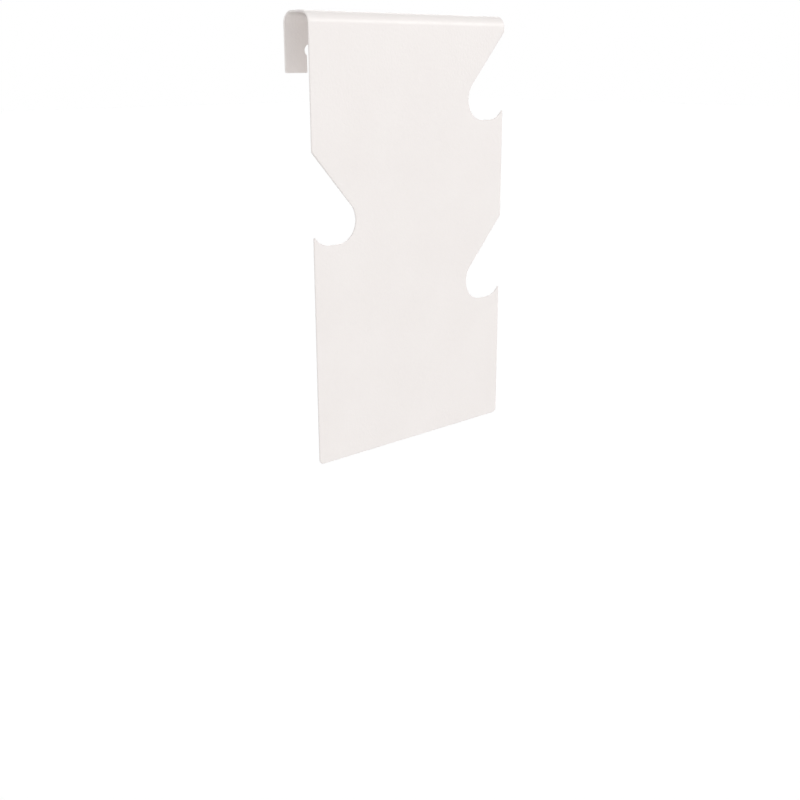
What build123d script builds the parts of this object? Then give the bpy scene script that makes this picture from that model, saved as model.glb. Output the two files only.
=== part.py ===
from build123d import *
from math import cos, isclose, radians, sin, sqrt, tan
import os

# Door hook: one steel sheet folded over a door's top edge. Its front plate hangs down the door,
# and three notches in the plate's sides leave upturned lips to hang things on.
# Millimetres. X runs along the door, Y from the front plate back to the flap, Z up.
# The origin is the middle of the strip's underside, where the hook sits on the door.

# Sheet, with the inside radius of its folds and the small chamfer that breaks its edges
sheet = 1.2
bend_radius = 5.3
edge_break = 0.4

# Folded form, with heights from the top of the fold down
width = 150.0
door_gap = 19.6
plate_height = 250.0
flap_height = 31.7
plate_corner = 3.0
flap_corner = 1.0

# Hook notches: a ramp runs in from the plate's side to a round pocket, a flat floor and a lip
notch_radius = 12.5
notch_floor = 6.7
ramp_angle = 48.0
lip_height = 6.5
lip_round = 0.6
shoulder_round = 1.0

# Drop from the end of the front fold to the start of each ramp
right_upper_notch = 2.7
left_notch = 65.9
right_lower_notch = 112.7

# Keyhole slots, open at the flap's lower edge
keyhole_inset = 16.4
keyhole_rise = 11.7
keyhole_head = 6.0
keyhole_slot = 3.0
keyhole_round = 0.6

# Places and levels that follow from these
half_width = width / 2
half_gap = door_gap / 2
plate_bottom = sheet - plate_height
flap_bottom = sheet - flap_height
keyhole_place = half_width - keyhole_inset
keyhole_level = flap_bottom + keyhole_rise
plate_inside = Plane.XZ.offset(half_gap)
flap_inside = Plane.XZ.offset(-half_gap)

# Each notch has a side of the plate, 1 for the right, and the level where its ramp begins
notches = (
    (1, -bend_radius - right_upper_notch),
    (-1, -bend_radius - left_notch),
    (1, -bend_radius - right_lower_notch),
)

# The lip's round rises from the floor and leaves through the plate's side, at the lip's tip.
# The pocket's round, of the same radius, is tangent to the floor and to the ramp.
lip_centre = sqrt(lip_height * (2 * notch_radius - lip_height))
pocket_centre = lip_centre + notch_floor
ramp_slope = radians(ramp_angle)
notch_drop = notch_radius + (notch_radius + pocket_centre * sin(ramp_slope)) / cos(ramp_slope)
ramp_foot = notch_drop / tan(ramp_slope)
lip_overrun = notch_radius - lip_centre

# Outline of a notch in the right-hand side, from the point where its ramp begins
with BuildSketch() as notch:
    with BuildLine():
        FilletPolyline(
            (0, 0),
            (-ramp_foot, -notch_drop),
            (lip_overrun, -notch_drop),
            (lip_overrun, 0),
            radius=(0, notch_radius, notch_radius, 0),
            close=True,
        )
    make_face()

# Outline of a keyhole slot, from the middle of its round head
with BuildSketch() as keyhole:
    Circle(keyhole_head / 2)
    Rectangle(keyhole_slot, keyhole_rise, align=(Align.CENTER, Align.MAX))
    fillet(keyhole.vertices().group_by(Axis.Y)[-1], keyhole_round)

with BuildPart() as door_hook:
    # The folded section, drawn along its inside face and run across the width
    with BuildSketch(Plane.YZ):
        with BuildLine():
            FilletPolyline(
                (-half_gap, plate_bottom),
                (-half_gap, 0),
                (half_gap, 0),
                (half_gap, flap_bottom),
                radius=bend_radius,
            )
            offset(amount=sheet, side=Side.LEFT)
        make_face()
    extrude(amount=half_width, both=True)

    # Notches through the front plate
    with BuildSketch(plate_inside):
        for side, ramp_top in notches:
            with Locations((side * half_width, ramp_top)):
                if side > 0:
                    add(notch.sketch)
                else:
                    add(mirror(notch.sketch, about=Plane.YZ, mode=Mode.PRIVATE))
    extrude(amount=sheet, mode=Mode.SUBTRACT)

    # Keyhole slots through the rear flap
    with BuildSketch(flap_inside):
        with Locations((-keyhole_place, keyhole_level), (keyhole_place, keyhole_level)):
            add(keyhole.sketch)
    extrude(amount=-sheet, mode=Mode.SUBTRACT)

    def corner(plane, x, z):
        """The edge across the sheet at a corner of the plate or the flap."""
        place = plane.from_local_coords((x, z))
        return door_hook.edges().filter_by(Axis.Y).sort_by_distance(place)[0]

    def on_rim(edge):
        """False for the edges across the sheet and for those along the folds."""
        return not isclose(edge.length, sheet) and not isclose(edge.length, width)

    # Corners of the notches: the shoulder above each ramp and the lip's tip
    for side, ramp_top in notches:
        lip_tip = ramp_top - notch_drop + lip_height
        fillet(corner(plate_inside, side * half_width, ramp_top), shoulder_round)
        fillet(corner(plate_inside, side * half_width, lip_tip), lip_round)

    # Lower corners of the plate, the flap and the slots' mouths
    for side in (-1, 1):
        fillet(corner(plate_inside, side * half_width, plate_bottom), plate_corner)
        fillet(corner(flap_inside, side * half_width, flap_bottom), flap_corner)
        for slot_edge in (-keyhole_slot / 2, keyhole_slot / 2):
            fillet(corner(flap_inside, side * keyhole_place + slot_edge, flap_bottom), keyhole_round)

    # The sheet's edges are broken all round
    chamfer(door_hook.edges().filter_by(on_rim), edge_break)

door_hook.part.label = "door_hook"

os.makedirs("parts", exist_ok=True)
export_step(door_hook.part, "parts/door_hook.step")
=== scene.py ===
from math import pi, radians

import bpy
from mathutils import Matrix, Vector


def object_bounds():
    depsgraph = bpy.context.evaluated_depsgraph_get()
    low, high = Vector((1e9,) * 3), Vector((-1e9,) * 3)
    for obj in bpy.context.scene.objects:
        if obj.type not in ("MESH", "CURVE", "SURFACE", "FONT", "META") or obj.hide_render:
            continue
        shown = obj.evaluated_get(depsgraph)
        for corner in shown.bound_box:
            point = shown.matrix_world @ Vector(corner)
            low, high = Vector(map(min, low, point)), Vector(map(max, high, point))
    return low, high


# Door hook: the finish of the folded sheet, and a plain studio round it. Metres, in the part's own frame.

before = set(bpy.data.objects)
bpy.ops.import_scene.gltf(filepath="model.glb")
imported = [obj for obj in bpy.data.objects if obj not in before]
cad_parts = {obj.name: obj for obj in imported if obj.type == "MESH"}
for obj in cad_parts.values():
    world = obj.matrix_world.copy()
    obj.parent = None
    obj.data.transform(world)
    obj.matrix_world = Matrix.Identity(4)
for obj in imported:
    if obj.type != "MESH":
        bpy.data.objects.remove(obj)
cad_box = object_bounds()

# Camera, fitted to the edges of the plate, the folds and the flap
camera_place = Vector((-0.44324, -0.48172, -0.02589))
camera_yaw = radians(42.493)
camera_pitch = radians(17.115)
camera_roll = radians(0.223)
camera_lens = 49.15

# Studio. A level of 1 shows a colour as it is written, on a surface that faces the lamp.
# The coat mirrors every lamp but the fill, which would turn it white seen from the right.
white = (1.0, 1.0, 1.0, 1.0)
white_level = 1.0
ambient_level = 0.42
lamps = {
    "key": {"towards": (0.63, -0.70, 0.33), "level": 0.33, "angle": radians(8), "mirrored": True},
    "fill": {"towards": (-0.74, -0.67, 0.07), "level": 0.34, "angle": radians(8), "mirrored": False},
    "back": {"towards": (0.45, 0.83, 0.25), "level": 0.50, "angle": radians(60), "mirrored": True},
    "top": {"towards": (0.0, -0.30, 0.95), "level": 0.10, "angle": radians(60), "mirrored": True},
}
floor_drop = 1.0
floor_size = 60.0
floor_grey = 0.80

# Powder coat: a warm white, with the shallow waves of orange peel and a finer grain on them.
# Patches and lengths are how far across one patch, wave or grain is, and depths how far it rises.
coat_dark = (0.850, 0.808, 0.788, 1.0)
coat_light = (0.865, 0.825, 0.805, 1.0)
coat_patch = 0.035
coat_sheen = 0.60
smooth_coat = 0.43
rough_coat = 0.49
roughness_patch = 0.006
peel_length = 0.0016
peel_depth = 0.0001
grain_length = 0.00035
grain_depth = 0.000015

# Noise: the two values that it mostly lies between, and its detail
noise_low = 0.3
noise_high = 0.7
noise_detail = 2.0

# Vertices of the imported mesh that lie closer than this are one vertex.
# With the full face weight, the large faces set the normals along their edges.
weld_gap = 0.000001
face_weight = 100


def add(tree, kind, inputs, **settings):
    """A new node with its settings. Inputs, by name or number, take values or other nodes' outputs."""
    node = tree.nodes.new(kind)
    for name, value in settings.items():
        setattr(node, name, value)
    for name, value in inputs.items():
        if isinstance(value, bpy.types.NodeSocket):
            tree.links.new(value, node.inputs[name])
        else:
            node.inputs[name].default_value = value
    return node


def new_tree(owner):
    """The owner's node tree, emptied."""
    owner.use_nodes = True
    owner.node_tree.nodes.clear()
    return owner.node_tree


def noise(tree, place, length):
    """Noise whose bumps are about that length across."""
    inputs = {"Vector": place, "Scale": 1 / length, "Detail": noise_detail}
    return add(tree, "ShaderNodeTexNoise", inputs).outputs["Fac"]


def spread(tree, value, low, high):
    """Noise spread from low to high."""
    inputs = {
        "Value": value,
        "From Min": noise_low,
        "From Max": noise_high,
        "To Min": low,
        "To Max": high,
    }
    return add(tree, "ShaderNodeMapRange", inputs).outputs["Result"]


def powder_coat():
    """Satin white powder coat on steel sheet."""
    material = bpy.data.materials.new("powder_coat_satin")
    tree = new_tree(material)
    place = add(tree, "ShaderNodeTexCoord", {}).outputs["Object"]
    colour = add(tree, "ShaderNodeValToRGB", {"Fac": spread(tree, noise(tree, place, coat_patch), 0, 1)})
    colour.color_ramp.elements[0].color = coat_dark
    colour.color_ramp.elements[1].color = coat_light
    peel = {"Height": noise(tree, place, peel_length), "Distance": peel_depth}
    grain = {"Height": noise(tree, place, grain_length), "Distance": grain_depth}
    grain["Normal"] = add(tree, "ShaderNodeBump", peel).outputs["Normal"]
    finish = {
        "Base Color": colour.outputs["Color"],
        "Roughness": spread(tree, noise(tree, place, roughness_patch), smooth_coat, rough_coat),
        "Specular IOR Level": coat_sheen,
        "Normal": add(tree, "ShaderNodeBump", grain).outputs["Normal"],
    }
    shader = add(tree, "ShaderNodeBsdfPrincipled", finish)
    add(tree, "ShaderNodeOutputMaterial", {"Surface": shader.outputs["BSDF"]})
    return material


def smooth_shading():
    """A node group that shades every face smooth."""
    group = bpy.data.node_groups.new("shade_smooth", "GeometryNodeTree")
    group.interface.new_socket("Geometry", in_out="INPUT", socket_type="NodeSocketGeometry")
    group.interface.new_socket("Geometry", in_out="OUTPUT", socket_type="NodeSocketGeometry")
    mesh = add(group, "NodeGroupInput", {}).outputs["Geometry"]
    smooth = add(group, "GeometryNodeSetShadeSmooth", {"Geometry": mesh})
    add(group, "NodeGroupOutput", {"Geometry": smooth.outputs["Geometry"]})
    return group


def dress_sheet():
    """The coat on the sheet, with normals that keep its faces flat and soften its broken edges."""
    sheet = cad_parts["door_hook"]
    sheet.data.materials.clear()
    sheet.data.materials.append(powder_coat())
    weld = sheet.modifiers.new("weld", "WELD")
    weld.merge_threshold = weld_gap
    smooth = sheet.modifiers.new("smooth", "NODES")
    smooth.node_group = smooth_shading()
    normals = sheet.modifiers.new("normals", "WEIGHTED_NORMAL")
    normals.mode = "FACE_AREA"
    normals.weight = face_weight


def ray_level(tree, bounced, seen):
    """A level for bounced light, and one for rays that show a thing straight, mirrored or through glass."""
    path = add(tree, "ShaderNodeLightPath", {})
    rays = [path.outputs[name] for name in ("Is Camera Ray", "Is Glossy Ray", "Is Transmission Ray")]
    shows = rays[0]
    for ray in rays[1:]:
        shows = add(tree, "ShaderNodeMath", {0: shows, 1: ray}, operation="MAXIMUM").outputs["Value"]
    levels = {"Value": shows, "To Min": bounced, "To Max": seen}
    return add(tree, "ShaderNodeMapRange", levels).outputs["Result"]


def light_world():
    """Even light from all round, in front of a white background."""
    world = bpy.data.worlds.new("studio")
    tree = new_tree(world)
    sky = {"Color": white, "Strength": ray_level(tree, ambient_level, white_level)}
    background = add(tree, "ShaderNodeBackground", sky)
    add(tree, "ShaderNodeOutputWorld", {"Surface": background.outputs["Background"]})
    bpy.context.scene.world = world


def light_lamps():
    """Lamps far enough away to light the floor evenly too."""
    for name, lamp in lamps.items():
        light = bpy.data.lights.new(name, "SUN")
        light.energy = lamp["level"] * pi
        light.angle = lamp["angle"]
        holder = bpy.data.objects.new(name, light)
        holder.rotation_euler = Vector(lamp["towards"]).to_track_quat("Z", "Y").to_euler()
        holder.visible_glossy = lamp["mirrored"]
        bpy.context.scene.collection.objects.link(holder)


def floor_coat():
    """Pale floor with just enough glow of its own to reach white where nothing shades it."""
    material = bpy.data.materials.new("floor_pale")
    tree = new_tree(material)
    light = ambient_level
    for lamp in lamps.values():
        light += lamp["level"] * Vector(lamp["towards"]).normalized().z
    shine = {"Color": white, "Strength": ray_level(tree, 0, white_level - floor_grey * light)}
    glow = add(tree, "ShaderNodeEmission", shine)
    matt = add(tree, "ShaderNodeBsdfDiffuse", {"Color": (floor_grey, floor_grey, floor_grey, 1.0)})
    both = add(tree, "ShaderNodeAddShader", {0: matt.outputs["BSDF"], 1: glow.outputs["Emission"]})
    add(tree, "ShaderNodeOutputMaterial", {"Surface": both.outputs["Shader"]})
    return material


def lay_floor():
    """The floor, well below the hook, which hangs on a door."""
    half = floor_size / 2
    level = cad_box[0].z - floor_drop
    corners = [(-half, -half, level), (half, -half, level), (half, half, level), (-half, half, level)]
    mesh = bpy.data.meshes.new("floor")
    mesh.from_pydata(corners, [], [(0, 1, 2, 3)])
    mesh.materials.append(floor_coat())
    floor = bpy.data.objects.new("floor", mesh)
    bpy.context.scene.collection.objects.link(floor)


def set_camera():
    """The photograph's view."""
    camera = bpy.data.objects.new("camera", bpy.data.cameras.new("camera"))
    camera.data.lens = camera_lens
    turn = Matrix.Rotation(-camera_yaw, 4, "Z") @ Matrix.Rotation(pi / 2 - camera_pitch, 4, "X")
    camera.matrix_world = Matrix.Translation(camera_place) @ turn @ Matrix.Rotation(-camera_roll, 4, "Z")
    bpy.context.scene.collection.objects.link(camera)
    bpy.context.scene.camera = camera


dress_sheet()
light_world()
light_lamps()
lay_floor()
set_camera()
bpy.context.scene.view_settings.view_transform = "Standard"
